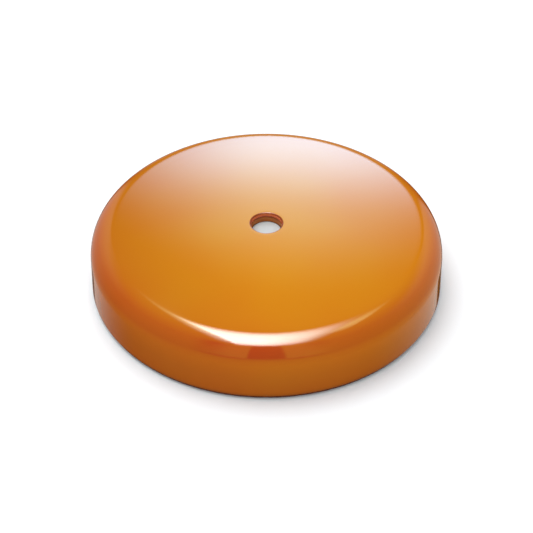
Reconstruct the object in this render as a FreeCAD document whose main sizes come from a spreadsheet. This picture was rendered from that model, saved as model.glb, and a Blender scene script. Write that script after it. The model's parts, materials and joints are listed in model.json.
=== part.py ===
import FreeCAD, Part
import math
import os
import sys

import Sketcher
from FreeCAD import Placement, Rotation, Vector

# Round darkroom safelight with a domed amber glass cover.
#
# The cover is one shallow, open-bottomed glass with a hole through the middle of its crown. It
# stands on a felt ring on the flange of a pressed steel pan, and three spring clips on the pan
# grip the inside of its wall. A push button sits below the hole, in an opaque collar with a soft
# seal under the glass, so that no white light leaves through the hole. The button works a push
# switch on a steel bridge, and two small lamps lie flat, one on each side of it.
#
# Millimetres. +Z is up, away from the bench or wall. The origin is on the cover's axis, level
# with the lower faces of the three feet. The front is towards -Y.

DOCUMENT = FreeCAD.newDocument("safelight")
SHEET = DOCUMENT.addObject("Spreadsheet::Sheet", "Sizes")
CELLS = []
NODES = []

UPRIGHT = Rotation()
MOUTH_FRONT = Rotation(Vector(1, 0, 0), 90)  # a piece's own +Z points to -Y
HEAD_BACK = Rotation(Vector(1, 0, 0), -90)  # a piece's own +Z points to +Y
SIDES = {"left": -1, "right": 1}
BOTH = (-1, 1)
CLIP_ANGLES = (30, 150, 270)
FOOT_ANGLES = (90, 210, 330)


# --------------------------------------------------------------- sizes and their expressions


class Size:
    """A length, with the expression in the sheet's cells that gives it."""

    def __init__(self, value, text):
        self.value = value
        self.text = text

    def __add__(self, other):
        return Size(self.value + number(other), f"({self.text} + {text(other)})")

    def __radd__(self, other):
        return self + other

    def __sub__(self, other):
        return Size(self.value - number(other), f"({self.text} - {text(other)})")

    def __rsub__(self, other):
        return Size(number(other) - self.value, f"({text(other)} - {self.text})")

    def __mul__(self, other):
        return Size(self.value * number(other), f"({self.text} * {text(other)})")

    def __rmul__(self, other):
        return self * other

    def __truediv__(self, other):
        return Size(self.value / number(other), f"({self.text} / {text(other)})")

    def __neg__(self):
        return Size(-self.value, f"(0 - {self.text})")

    def root(self):
        return Size(math.sqrt(self.value), f"sqrt({self.text})")


def number(length):
    return length.value if isinstance(length, Size) else float(length)


def text(length):
    if isinstance(length, Size):
        return length.text
    return f"({float(length)})" if length < 0 else str(float(length))


def cell(alias, value, note):
    """Writes one driving size into the sheet and returns it."""
    CELLS.append(alias)
    row = len(CELLS)
    SHEET.set(f"A{row}", note)
    SHEET.set(f"B{row}", str(value))
    SHEET.setAlias(f"B{row}", alias)
    return Size(float(value), f"Sizes.{alias}")


# ------------------------------------------------------------------------------ driving sizes

# The cover glass.
cover_radius = cell("cover_radius", 110, "outside of the glass wall")
cover_height = cell("cover_height", 44.8, "glass rim to the top of the crown")
crown_radius = cell("crown_radius", 858, "sphere that the crown is part of")
corner_radius = cell("corner_radius", 16.2, "outside, between crown and wall")
glass_wall = cell("glass_wall", 3.2, "thickness of the cased glass")
hole_radius = cell("hole_radius", 9.7, "bore through the crown")
lip_round = cell("lip_round", 1.3, "fire-polished upper edge of the bore")
rim_round = cell("rim_round", 1.2, "outer edge of the glass rim")

# The pan, with its flange, feet, clips and grommet.
foot_proud = cell("foot_proud", 0.4, "feet below the flange")
pan_sheet = cell("pan_sheet", 0.8, "steel thickness")
pan_rise = cell("pan_rise", 3.8, "floor above the flange")
step_inset = cell("step_inset", 8, "wall between floor and flange, inside the glass wall")
flange_inset = cell("flange_inset", 1.4, "flange edge inside the outside of the glass")
felt_height = cell("felt_height", 0.7, "light seal below the glass rim, pressed")
seat_gap = cell("seat_gap", 0.1, "clearance between felt and glass")
slot_spacing = cell("slot_spacing", 152, "between the two wall screw slots")
slot_width = cell("slot_width", 5, "wall screw slot")
slot_length = cell("slot_length", 10, "wall screw slot, end to end")
foot_circle = cell("foot_circle", 88, "radius that the feet lie on")
foot_radius = cell("foot_radius", 6, "rubber foot")
foot_stem = cell("foot_stem", 2.5, "foot's stem")
clip_inset = cell("clip_inset", 5, "where a clip leaves the floor, from the floor's edge")
clip_foot = cell("clip_foot", 13, "length of a clip on the floor")
clip_knee = cell("clip_knee", 7.5, "where a clip turns upright, above the floor")
clip_width = cell("clip_width", 10, "spring strip")
clip_sheet = cell("clip_sheet", 0.6, "spring strip")
clip_gap = cell("clip_gap", 0.4, "clearance between clip pad and glass")
pad_height = cell("pad_height", 7.6, "silicone pad on a clip")
pad_sheet = cell("pad_sheet", 1.5, "silicone pad on a clip")
rivet_shank = cell("rivet_shank", 1.6, "clip rivet")
rivet_head = cell("rivet_head", 2.8, "clip rivet")
grommet_bore = cell("grommet_bore", 3.6, "way in for the supply cores")
grommet_neck = cell("grommet_neck", 6, "grommet in the floor")
grommet_x = cell("grommet_x", -32, "cable entry")
grommet_y = cell("grommet_y", 80, "cable entry")

# The button, and the switch below it.
button_inset = cell("button_inset", 0.3, "cap's edge, inside the bore of the glass")
skirt_step = cell("skirt_step", 0.6, "step on the cap that the collar's lip holds down")
button_top = cell("button_top", 1.8, "thickness of the cap's top")
button_depth = cell("button_depth", 9, "cap, top to lower edge")
button_proud = cell("button_proud", 0.2, "cap's top above the collar")
slide_gap = cell("slide_gap", 0.3, "clearance round cap and plunger")
seal_width = cell("seal_width", 5.3, "soft seal below the hole, from bore to outside")
seal_height = cell("seal_height", 3, "soft seal")
seal_gap = cell("seal_gap", 0.3, "clearance between seal and glass")
collar_wall = cell("collar_wall", 2.2, "opaque tube round the button")
collar_flange = cell("collar_flange", 5.5, "collar's lower flange, beyond the tube")
collar_sheet = cell("collar_sheet", 1.6, "collar's flanges")
collar_lip = cell("collar_lip", 1.2, "lip over the cap's skirt")
bridge_sheet = cell("bridge_sheet", 1.2, "steel strap")
bridge_top = cell("bridge_top", 25.2, "upper face above the bench")
bridge_width = cell("bridge_width", 38, "strap, along Y")
bridge_span = cell("bridge_span", 50.4, "outside of the two legs, along X")
bridge_foot = cell("bridge_foot", 9, "length of each foot")
switch_side = cell("switch_side", 16, "square switch body")
switch_height = cell("switch_height", 14.5, "switch body")
neck_radius = cell("neck_radius", 5, "threaded neck of the switch")
neck_height = cell("neck_height", 5.4, "above the switch body")
nut_across = cell("nut_across", 14, "neck nut, across flats")
nut_height = cell("nut_height", 2.8, "neck nut")
washer_sheet = cell("washer_sheet", 0.8, "washer below the neck nut")
plunger_radius = cell("plunger_radius", 2.2, "switch plunger")
plunger_reach = cell("plunger_reach", 4, "plunger inside the neck at rest")
spring_radius = cell("spring_radius", 6.6, "middle of the spring's wire")
spring_wire = cell("spring_wire", 0.4, "radius of the spring's wire")
spring_turns = cell("spring_turns", 4, "turns of the spring")
tab_pitch = cell("tab_pitch", 6, "between the switch's terminals")
tab_reach = cell("tab_reach", 12, "end of a switch terminal, from the axis")
tab_drop = cell("tab_drop", 1.9, "switch terminal below the body")
tab_sheet = cell("tab_sheet", 0.8, "switch terminal")

# Lampholders and lamps. Lengths along a lamp are from the lampholder's rear face.
lamp_offset = cell("lamp_offset", 50, "lamp axis from the middle")
lamp_level = cell("lamp_level", 22, "lamp axis above the bench")
holder_back = cell("holder_back", 48, "rear face of a lampholder, along Y")
holder_radius = cell("holder_radius", 12.5, "moulded lampholder")
holder_length = cell("holder_length", 34, "moulded lampholder")
holder_floor = cell("holder_floor", 9.6, "thickness behind the socket")
socket_radius = cell("socket_radius", 8.2, "bore round the threaded shell")
mouth_radius = cell("mouth_radius", 10.8, "widened mouth of the lampholder")
shell_radius = cell("shell_radius", 7.3, "threaded shell, at its inward ridges")
shell_sheet = cell("shell_sheet", 0.4, "threaded shell")
thread_depth = cell("thread_depth", 0.35, "lamp thread")
thread_pitch = cell("thread_pitch", 2.8, "lamp thread")
lamp_crest = cell("lamp_crest", 6.9, "lamp cap, at its outward ridges")
lamp_start = cell("lamp_start", 11, "lamp's contact")
lamp_length = cell("lamp_length", 57, "lamp, contact to tip")
bulb_radius = cell("bulb_radius", 13, "glass envelope")
bulb_neck = cell("bulb_neck", 5.7, "glass envelope inside its cap")
bulb_wall = cell("bulb_wall", 0.6, "glass envelope")
bracket_width = cell("bracket_width", 20, "lampholder bracket")
bracket_foot = cell("bracket_foot", 14, "length of a bracket's foot")
bracket_top = cell("bracket_top", 26.5, "upper edge of a bracket above the bench")
bracket_sheet = cell("bracket_sheet", 1.2, "lampholder bracket")
holder_screw_x = cell("holder_screw_x", 6.5, "holder screws from the lamp axis")
core_x = cell("core_x", 4, "cores into a holder, from the lamp axis")
core_rise = cell("core_rise", 8.5, "cores into a holder, above the lamp axis")

# Terminal block, screws and wires.
block_y = cell("block_y", 66, "middle of the terminal block")
block_length = cell("block_length", 30, "along X")
block_depth = cell("block_depth", 16, "along Y")
block_height = cell("block_height", 12, "terminal block")
pole_pitch = cell("pole_pitch", 10, "between terminals")
pole_level = cell("pole_level", 6, "terminal tube above the floor")
pole_screw_y = cell("pole_screw_y", 4.5, "terminal screws from the block's middle")
tube_radius = cell("tube_radius", 2.5, "terminal tube")
tube_bore = cell("tube_bore", 1.6, "terminal tube")
screw_reach = cell("screw_reach", 1.4, "screws, beyond the sheet that they grip")
screw_shank = cell("screw_shank", 1.9, "assembly screws")
screw_head = cell("screw_head", 3.5, "assembly screws")
small_shank = cell("small_shank", 1.4, "small screws")
small_head = cell("small_head", 2.5, "small screws")
hole_gap = cell("hole_gap", 0.1, "clearance round a screw or rivet")
wire_radius = cell("wire_radius", 1.1, "insulated core")
earth_sheet = cell("earth_sheet", 1, "earth washer")
earth_x = cell("earth_x", 26, "earth screw")
earth_y = cell("earth_y", 82, "earth screw")
DOCUMENT.recompute()

# Levels and radii that several pieces share.
flange_low = foot_proud
flange_top = flange_low + pan_sheet
floor_low = flange_low + pan_rise
floor_top = floor_low + pan_sheet
flange_radius = cover_radius - flange_inset
inner_radius = cover_radius - glass_wall
step_radius = cover_radius - step_inset
clip_bend = step_radius - clip_inset
clip_start = clip_bend - clip_foot
cover_foot = flange_top + felt_height + seat_gap
cover_top = cover_foot + cover_height
bridge_low = bridge_top - bridge_sheet
neck_top = bridge_low + neck_height
nut_low = bridge_top + washer_sheet
nut_top = nut_low + nut_height
seal_radius = hole_radius + seal_width
button_radius = hole_radius - button_inset
guide_radius = button_radius + skirt_step
seal_top = cover_top - glass_wall - seal_radius * seal_radius / (crown_radius * 2) - seal_gap
collar_top = seal_top - seal_height
collar_bore = guide_radius + slide_gap
collar_outer = collar_bore + collar_wall
collar_foot = collar_outer + collar_flange
button_high = collar_top + button_proud
button_under = button_high - button_top
tab_level = bridge_low - switch_height - tab_drop + tab_sheet / 2
pole_z = floor_top + pole_level
core_z = lamp_level + core_rise
screw_seat = floor_top + bridge_sheet
assembly_screw = {"head": screw_head, "shank": screw_shank}
small_screw = {"head": small_head, "shank": small_shank}


def around(radius, degrees):
    """The point on a circle about the Z axis at an angle from +X."""
    angle = math.radians(degrees)
    return radius * round(math.cos(angle), 9), radius * round(math.sin(angle), 9)


foot_places = [around(foot_circle, degrees) for degrees in FOOT_ANGLES]
rivet_places = [
    around(clip_start + out, degrees) for degrees in CLIP_ANGLES for out in (3.5, 9)
]
bridge_screw_x = bridge_span / 2 + bridge_foot / 2
bridge_screws = [
    (bridge_screw_x * sx, bridge_width * 0.3 * sy) for sx in BOTH for sy in BOTH
]
bracket_screw_y = holder_back + bracket_sheet + bracket_foot / 2
bracket_screws = [
    (lamp_offset * sx + bracket_width / 4 * step, bracket_screw_y)
    for sx in BOTH
    for step in BOTH
]
collar_screw_x = (collar_foot + collar_outer) / 2
poles = [pole_pitch * step for step in (-1, 0, 1)]


# ------------------------------------------------------------------------------ making pieces


def new_body(label, keep=True):
    """An empty body. One that isn't kept is only a pattern for copies."""
    body = DOCUMENT.addObject("PartDesign::Body", label)
    body.Label = label
    if keep:
        NODES.append(body)
    return body


def bind(thing, name, length):
    """Sets a property to a length, by its expression where it has one."""
    if isinstance(length, Size):
        thing.setExpression(name, length.text)
    else:
        setattr(thing, name, length)


def sketch_on(body, role, shift=0):
    """A sketch on one of the body's own origin planes, moved by shift along its normal."""
    sketch = body.newObject("Sketcher::SketchObject", f"{body.Name}_sketch")
    plane = next(f for f in body.Origin.OriginFeatures if f.Role == role)
    sketch.AttachmentSupport = [(plane, "")]
    sketch.MapMode = "FlatFace"
    sketch.AttachmentOffset = Placement(Vector(0, 0, number(shift)), UPRIGHT)
    if isinstance(shift, Size):
        sketch.setExpression("AttachmentOffset.Base.z", shift.text)
    return sketch


def hold(sketch, kind, geometry, vertex, length):
    """Holds one coordinate of a vertex at a length from the sketch's origin."""
    made = Sketcher.Constraint(kind, -1, 1, geometry, vertex, number(length))
    index = sketch.addConstraint(made)
    if isinstance(length, Size):
        sketch.setExpression(f"Constraints[{index}]", length.text)


def outline(sketch, points, arcs=None):
    """A closed outline through points. arcs holds, by the index of the point that it starts
    from, (turn, x, y) for every segment that is an arc: "left" or "right" is the side that its
    centre lies on, seen along the way, and x and y are the centre."""
    arcs = arcs or {}
    places = [Vector(number(x), number(y), 0) for x, y in points]
    count = len(places)
    first = sketch.GeometryCount
    rights = {i for i, arc in arcs.items() if arc[0] == "right"}
    for i, start in enumerate(places):
        end = places[(i + 1) % count]
        if i not in arcs:
            sketch.addGeometry(Part.LineSegment(start, end))
            continue
        centre = Vector(number(arcs[i][1]), number(arcs[i][2]), 0)
        ends = [end, start] if i in rights else [start, end]
        angles = [math.atan2(p.y - centre.y, p.x - centre.x) for p in ends]
        whole = Part.Circle(centre, Vector(0, 0, 1), (start - centre).Length)
        sketch.addGeometry(Part.ArcOfCircle(whole, *angles))
    for i, (x, y) in enumerate(points):
        before = (i - 1) % count
        start = 2 if i in rights else 1
        end = 1 if before in rights else 2
        sketch.addConstraint(
            Sketcher.Constraint("Coincident", first + before, end, first + i, start)
        )
        hold(sketch, "DistanceX", first + i, start, x)
        hold(sketch, "DistanceY", first + i, start, y)
    for i, (_, x, y) in arcs.items():
        chord = places[(i + 1) % count] - places[i]
        if abs(chord.x) > abs(chord.y):
            hold(sketch, "DistanceY", first + i, 3, y)
        else:
            hold(sketch, "DistanceX", first + i, 3, x)


def circle(sketch, x, y, radius):
    made = Part.Circle(Vector(number(x), number(y), 0), Vector(0, 0, 1), number(radius))
    geometry = sketch.addGeometry(made)
    index = sketch.addConstraint(Sketcher.Constraint("Radius", geometry, number(radius)))
    if isinstance(radius, Size):
        sketch.setExpression(f"Constraints[{index}]", radius.text)
    hold(sketch, "DistanceX", geometry, 3, x)
    hold(sketch, "DistanceY", geometry, 3, y)


def rounds(*wanted):
    """Draws circles, each (x, y, radius)."""

    def draw(sketch):
        for x, y, radius in wanted:
            circle(sketch, x, y, radius)

    return draw


def corners(x, y, long, wide):
    """The corners of a rectangle with its middle at (x, y)."""
    west, east = x - long / 2, x + long / 2
    south, north = y - wide / 2, y + wide / 2
    return [(west, south), (east, south), (east, north), (west, north)]


def rectangle(x, y, long, wide):
    """Draws one rectangle with its middle at (x, y)."""
    return lambda sketch: outline(sketch, corners(x, y, long, wide))


def obround(sketch, x, long, wide):
    """A round-ended slot along X, with its middle at (x, 0)."""
    run = (long - wide) / 2
    ends = {1: ("left", x + run, 0), 3: ("left", x - run, 0)}
    outline(sketch, corners(x, 0, run * 2, wide), ends)


def revolve(body, points, arcs=None):
    """Turns an outline of (radius, height) points about the body's Z axis."""
    sketch = sketch_on(body, "XZ_Plane")
    outline(sketch, points, arcs)
    turned = body.newObject("PartDesign::Revolution", f"{body.Name}_turned")
    turned.Profile = sketch
    turned.ReferenceAxis = (sketch, ["V_Axis"])
    turned.Angle = 360
    DOCUMENT.recompute()


def extrude(body, role, draw, length, shift=0, middle=True):
    """Extrudes what draw sketches, to both sides of its plane or along its normal."""
    sketch = sketch_on(body, role, shift)
    draw(sketch)
    pad = body.newObject("PartDesign::Pad", f"{body.Name}_pad")
    pad.Profile = sketch
    pad.SideType = "Symmetric" if middle else "One side"
    bind(pad, "Length", length)
    DOCUMENT.recompute()


def cut_from(body, sketch, settings, depth=None):
    """A pocket in the body, which has to take something away."""
    before = body.Shape.Volume
    pocket = body.newObject("PartDesign::Pocket", f"{body.Name}_cut")
    pocket.Profile = sketch
    for name, value in settings.items():
        setattr(pocket, name, value)
    if depth is not None:
        bind(pocket, "Length", depth)
    DOCUMENT.recompute()
    if body.Shape.Volume > before - 1e-3:
        sys.exit(f"a cut in {body.Label} takes nothing away")


def pierce(body, role, draw):
    """Cuts what draw sketches right through the body, to both sides of the plane."""
    sketch = sketch_on(body, role)
    draw(sketch)
    cut_from(body, sketch, {"Type": "ThroughAll", "SideType": "Symmetric"})


def sink(body, draw, top, depth):
    """Cuts what draw sketches downwards from top."""
    sketch = sketch_on(body, "XY_Plane", top)
    draw(sketch)
    cut_from(body, sketch, {"Type": "Length"}, depth)


def soften(body, wanted, radius):
    """Rounds the edges of the body for which wanted(edge) is true."""
    base = body.Tip
    edges = enumerate(base.Shape.Edges, 1)
    names = [f"Edge{i}" for i, edge in edges if not edge.Degenerated and wanted(edge)]
    if not names:
        sys.exit(f"no edge of {body.Label} to round")
    fillet = body.newObject("PartDesign::Fillet", f"{body.Name}_round")
    fillet.Base = (base, names)
    bind(fillet, "Radius", radius)
    DOCUMENT.recompute()


def rings_at(radius, height):
    """Picks the full circle of that radius and height about the Z axis."""

    def wanted(edge):
        curve = edge.Curve
        return (
            isinstance(curve, Part.Circle)
            and abs(curve.Radius - number(radius)) < 0.01
            and abs(curve.Center.z - number(height)) < 0.01
            and math.hypot(curve.Center.x, curve.Center.y) < 0.01
        )

    return wanted


def lines_at(axis, *places):
    """Picks the straight edges along an axis at any of places, which are the middle's other two
    coordinates in order. None stands for any value."""
    others = [i for i in range(3) if i != axis]

    def near(value, wish):
        return wish is None or abs(value - number(wish)) < 0.01

    def wanted(edge):
        ends = [vertex.Point for vertex in edge.Vertexes]
        if len(ends) != 2 or not isinstance(edge.Curve, Part.Line):
            return False
        run = ends[1] - ends[0]
        if abs(abs(run[axis]) - run.Length) > 0.01:
            return False
        return any(all(near(ends[0][i], w) for i, w in zip(others, p)) for p in places)

    return wanted


def place(piece, x=0, y=0, z=0, turn=UPRIGHT):
    """Puts a finished piece, or a link to one, at its place."""
    piece.Placement = Placement(Vector(number(x), number(y), number(z)), turn)
    for axis, length in (("x", x), ("y", y), ("z", z)):
        if isinstance(length, Size):
            piece.setExpression(f"Placement.Base.{axis}", length.text)
    return piece


def copies(label, pattern, places):
    """One node of separate, equal solids: the pattern at each of places."""
    links = []
    for i, where in enumerate(places):
        link = DOCUMENT.addObject("App::Link", f"{label}_{i + 1}")
        link.LinkedObject = pattern
        links.append(place(link, *where))
    group = DOCUMENT.addObject("Part::Compound", label)
    group.Label = label
    group.Links = links
    NODES.append(group)


def screw(label, head, shank, length):
    """A slotted pan-head screw with its head's lower face at Z 0, as a pattern for copies."""
    body = new_body(label, keep=False)
    rise = head * 0.62
    foot = -length
    profile = [(0, foot), (shank, foot), (shank, 0), (head, 0), (head, rise), (0, rise)]
    revolve(body, profile)
    soften(body, rings_at(head, rise), rise * 0.5)
    sink(body, rectangle(0, 0, head * 2.2, head * 0.3), rise, rise * 0.45)
    return body


def route(points, share):
    """Straight runs through points. Every corner's arc takes that share of the shorter run."""
    places = [Vector(number(x), number(y), number(z)) for x, y, z in points]
    edges = []
    start = places[0]
    for before, corner, after in zip(places, places[1:], places[2:]):
        reach = share * min((before - corner).Length, (after - corner).Length)
        back = (before - corner).normalize()
        on = (after - corner).normalize()
        half = back.getAngle(on) / 2
        radius = reach * math.tan(half)
        first, last = corner + back * reach, corner + on * reach
        middle = corner + (back + on).normalize() * (radius / math.sin(half) - radius)
        edges.append(Part.LineSegment(start, first).toShape())
        edges.append(Part.Arc(first, middle, last).toShape())
        start = last
    edges.append(Part.LineSegment(start, places[-1]).toShape())
    return Part.Wire(edges)


def strand(label, points, radius, share):
    """A round wire swept along points. share is how much of a run its bends may take."""
    spine = DOCUMENT.addObject("Part::Feature", f"{label}_route")
    spine.Shape = route(points, share)
    first, second = [Vector(*[number(c) for c in point]) for point in points[:2]]
    section = DOCUMENT.addObject("Part::Circle", f"{label}_section")
    section.Placement = Placement(first, Rotation(Vector(0, 0, 1), second - first))
    bind(section, "Radius", radius)
    sweep = DOCUMENT.addObject("Part::Sweep", label)
    sweep.Label = label
    sweep.Sections = [section]
    sweep.Spine = (spine, [f"Edge{i + 1}" for i in range(len(spine.Shape.Edges))])
    sweep.Solid = True
    NODES.append(sweep)
    return sweep


# ---------------------------------------------------------------------------------- the cover


def glass_cover():
    """Crown, corner and wall of one thickness, so inner and outer arcs share their centres."""
    body = new_body("glass_cover")
    crown_middle = cover_top - crown_radius
    corner_x = cover_radius - corner_radius
    reach = crown_radius - corner_radius
    corner_rise = (reach * reach - corner_x * corner_x).root()
    corner_z = crown_middle + corner_rise
    inside = crown_radius - glass_wall

    def tangent(radius):
        return corner_x * radius / reach, crown_middle + corner_rise * radius / reach

    def crown_height(radius):
        return crown_middle + (radius * radius - hole_radius * hole_radius).root()

    profile = [
        (hole_radius, crown_height(crown_radius)),
        tangent(crown_radius),
        (cover_radius, corner_z),
        (cover_radius, cover_foot),
        (inner_radius, cover_foot),
        (inner_radius, corner_z),
        tangent(inside),
        (hole_radius, crown_height(inside)),
    ]
    arcs = {
        0: ("right", 0, crown_middle),
        1: ("right", corner_x, corner_z),
        5: ("left", corner_x, corner_z),
        6: ("left", 0, crown_middle),
    }
    revolve(body, profile, arcs)
    soften(body, rings_at(hole_radius, crown_height(crown_radius)), lip_round)
    soften(body, rings_at(hole_radius, crown_height(inside)), lip_round * 0.4)
    soften(body, rings_at(cover_radius, cover_foot), rim_round)
    soften(body, rings_at(inner_radius, cover_foot), rim_round * 0.7)


# -------------------------------------------------------------------- pan, feet, seal, clips


def base_pan():
    """Pressed dish: a raised floor, a short wall and a flat flange, with every hole."""
    body = new_body("base_pan")
    step_inside = step_radius - pan_sheet
    profile = [
        (0, floor_low),
        (step_inside, floor_low),
        (step_inside, flange_low),
        (flange_radius, flange_low),
        (flange_radius, flange_top),
        (step_radius, flange_top),
        (step_radius, floor_top),
        (0, floor_top),
    ]
    revolve(body, profile)
    soften(body, rings_at(step_radius, floor_top), pan_sheet * 1.5)
    soften(body, rings_at(step_inside, floor_low), pan_sheet * 0.5)
    soften(body, rings_at(step_inside, flange_low), pan_sheet * 0.8)
    screws = bridge_screws + bracket_screws + [(earth_x, earth_y)]
    block_screws = [(pole_pitch / 2 * side, block_y) for side in BOTH]

    def draw(sketch):
        for x, y in screws:
            circle(sketch, x, y, screw_shank + hole_gap)
        for x, y in block_screws:
            circle(sketch, x, y, small_shank + hole_gap)
        for x, y in rivet_places:
            circle(sketch, x, y, rivet_shank + hole_gap)
        for x, y in foot_places:
            circle(sketch, x, y, foot_stem + hole_gap)
        circle(sketch, grommet_x, grommet_y, grommet_neck + hole_gap)
        for side in BOTH:
            obround(sketch, slot_spacing / 2 * side, slot_length, slot_width)

    pierce(body, "XY_Plane", draw)


def rim_seal():
    body = new_body("rim_seal")
    inside = step_radius + 0.4
    outside = flange_radius - 0.2
    top = flange_top + felt_height
    revolve(body, [(inside, flange_top), (outside, flange_top), (outside, top), (inside, top)])


def feet():
    """Rubber feet, pulled through the floor by their stems."""
    for i, (x, y) in enumerate(foot_places):
        body = new_body(f"foot_{i + 1}")
        bulge = foot_stem + 1.2
        profile = [
            (0, 0),
            (foot_radius, 0),
            (foot_radius, floor_low),
            (foot_stem, floor_low),
            (foot_stem, floor_top),
            (bulge, floor_top),
            (foot_stem - 0.5, floor_top + 2),
            (0, floor_top + 2),
        ]
        revolve(body, profile)
        soften(body, rings_at(foot_radius, 0), 0.8)
        place(body, x, y)


def clip_profile(face):
    """Side view of a spring clip whose upright's outer side is at face from the axis."""
    low = floor_top
    sheet = clip_sheet
    knee = low + clip_knee
    brow = knee + pad_height + 2.4
    return [
        (clip_start, low),
        (clip_bend, low),
        (face, knee),
        (face, brow),
        (face - 3.4, brow + 4.5),
        (face - 3.4 - sheet * 0.8, brow + 4.5 - sheet * 0.6),
        (face - sheet, brow - sheet * 0.33),
        (face - sheet, knee + sheet * 0.43),
        (clip_bend - sheet * 0.4, low + sheet),
        (clip_start, low + sheet),
    ]


def clips():
    """Spring strips with a silicone pad each, riveted to the floor."""
    face = inner_radius - clip_gap - pad_sheet
    profile = clip_profile(face)
    pad_z = floor_top + clip_knee + 1.2 + pad_height / 2
    holes = rounds(*[(clip_start + out, 0, rivet_shank + hole_gap) for out in (3.5, 9)])
    for i, degrees in enumerate(CLIP_ANGLES):
        turn = Rotation(Vector(0, 0, 1), degrees)
        strip = new_body(f"cover_clip_{i + 1}")
        extrude(strip, "XZ_Plane", lambda sketch: outline(sketch, profile), clip_width)
        soften(strip, lines_at(1, profile[2], profile[3]), 1.6)
        soften(strip, lines_at(1, profile[6], profile[7]), 1.0)
        soften(strip, lines_at(1, profile[1]), 1.2)
        pierce(strip, "XY_Plane", holes)
        place(strip, turn=turn)
        cushion = new_body(f"clip_pad_{i + 1}")
        side = rectangle(face + pad_sheet / 2, pad_z, pad_sheet, pad_height)
        extrude(cushion, "XZ_Plane", side, clip_width * 0.8)
        outer = face + pad_sheet
        ends = [(outer, pad_z + pad_height / 2 * s) for s in BOTH]
        soften(cushion, lines_at(1, *ends), 0.6)
        place(cushion, turn=turn)
    rivet = new_body("rivet", keep=False)
    top = floor_top + clip_sheet
    neck, head = rivet_shank, rivet_head
    profile = [
        (0, floor_low - 0.9),
        (head, floor_low - 0.9),
        (head, floor_low),
        (neck, floor_low),
        (neck, top),
        (head, top),
        (head * 0.6, top + 1),
        (0, top + 1),
    ]
    revolve(rivet, profile)
    copies("clip_rivets", rivet, rivet_places)


def cable_grommet():
    body = new_body("cable_grommet")
    flange = grommet_neck + 2
    low, high = floor_low - 1.6, floor_top + 1.6
    profile = [
        (grommet_bore, low),
        (flange - 0.8, low),
        (flange, floor_low - 0.6),
        (flange, floor_low),
        (grommet_neck, floor_low),
        (grommet_neck, floor_top),
        (flange, floor_top),
        (flange, floor_top + 0.6),
        (flange - 0.8, high),
        (grommet_bore, high),
    ]
    revolve(body, profile)
    place(body, grommet_x, grommet_y)


# -------------------------------------------------------------------------- button and switch


def switch_bridge():
    """Steel strap bent into a table over the floor, its legs to the left and right."""
    body = new_body("switch_bridge")
    half, end = bridge_span / 2, bridge_span / 2 + bridge_foot
    low, sheet = floor_top, bridge_sheet
    right = [
        (end, low),
        (end, low + sheet),
        (half, low + sheet),
        (half, bridge_top),
    ]
    inner = [(half - sheet, bridge_low), (half - sheet, low)]
    mirrored = [(-x, z) for x, z in reversed(right)]
    underside = [(-x, z) for x, z in reversed(inner)]
    profile = right + mirrored + underside + inner
    extrude(body, "XZ_Plane", lambda sketch: outline(sketch, profile), bridge_width)
    upper = [(half * s, bridge_top) for s in BOTH]
    under = [((half - sheet) * s, bridge_low) for s in BOTH]
    soften(body, lines_at(1, *upper), sheet * 2)
    soften(body, lines_at(1, *under), sheet)
    foot_ends = [(end * sx, bridge_width / 2 * sy) for sx in BOTH for sy in BOTH]
    soften(body, lines_at(2, *foot_ends), 3)
    holes = [(x, y, screw_shank + hole_gap) for x, y in bridge_screws]
    holes += [(collar_screw_x * s, 0, small_shank + hole_gap) for s in BOTH]
    pierce(body, "XY_Plane", rounds((0, 0, neck_radius + hole_gap), *holes))
    pattern = screw("bridge_screw", length=bridge_sheet + pan_sheet + screw_reach, **assembly_screw)
    copies("bridge_screws", pattern, [(x, y, screw_seat) for x, y in bridge_screws])


def switch():
    body = new_body("switch_body")
    low = bridge_low - switch_height
    square = rectangle(0, 0, switch_side, switch_side)
    extrude(body, "XY_Plane", square, switch_height, shift=low, middle=False)
    uprights = [(switch_side / 2 * sx, switch_side / 2 * sy) for sx in BOTH for sy in BOTH]
    soften(body, lines_at(2, *uprights), 1)
    sink(body, rounds((0, 0, neck_radius + 2.05)), bridge_low, 1.2)
    sink(body, rounds((0, 0, plunger_radius + 0.8)), bridge_low, plunger_reach - 1.4)

    neck = new_body("switch_neck")
    bore, seat = plunger_radius + slide_gap, bridge_low - 1.2
    profile = [
        (bore, seat),
        (neck_radius + 2, seat),
        (neck_radius + 2, bridge_low),
        (neck_radius, bridge_low),
        (neck_radius, neck_top - 0.5),
        (neck_radius - 0.5, neck_top),
        (bore, neck_top),
    ]
    revolve(neck, profile)

    tab = new_body("switch_tab", keep=False)
    inner, z = tab_reach - 8, tab_level - tab_sheet / 2
    side = [
        (inner, z),
        (tab_reach, z),
        (tab_reach, z + tab_sheet),
        (inner + tab_sheet, z + tab_sheet),
        (inner + tab_sheet, low),
        (inner, low),
    ]
    extrude(tab, "YZ_Plane", lambda sketch: outline(sketch, side), tab_pitch * 0.62)
    copies("switch_tabs", tab, [(tab_pitch * step,) for step in (-1, 0, 1)])


def neck_fixings():
    washer = new_body("neck_washer")
    disc = rounds((0, 0, neck_radius + 3.5), (0, 0, neck_radius + hole_gap))
    extrude(washer, "XY_Plane", disc, washer_sheet, shift=bridge_top, middle=False)
    nut = new_body("neck_nut")
    point = nut_across / math.sqrt(3)
    hexagon = [around(point, 60 * i) for i in range(6)]

    def draw(sketch):
        outline(sketch, hexagon)

    extrude(nut, "XY_Plane", draw, nut_height, shift=nut_low, middle=False)
    pierce(nut, "XY_Plane", rounds((0, 0, neck_radius + hole_gap / 2)))


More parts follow.
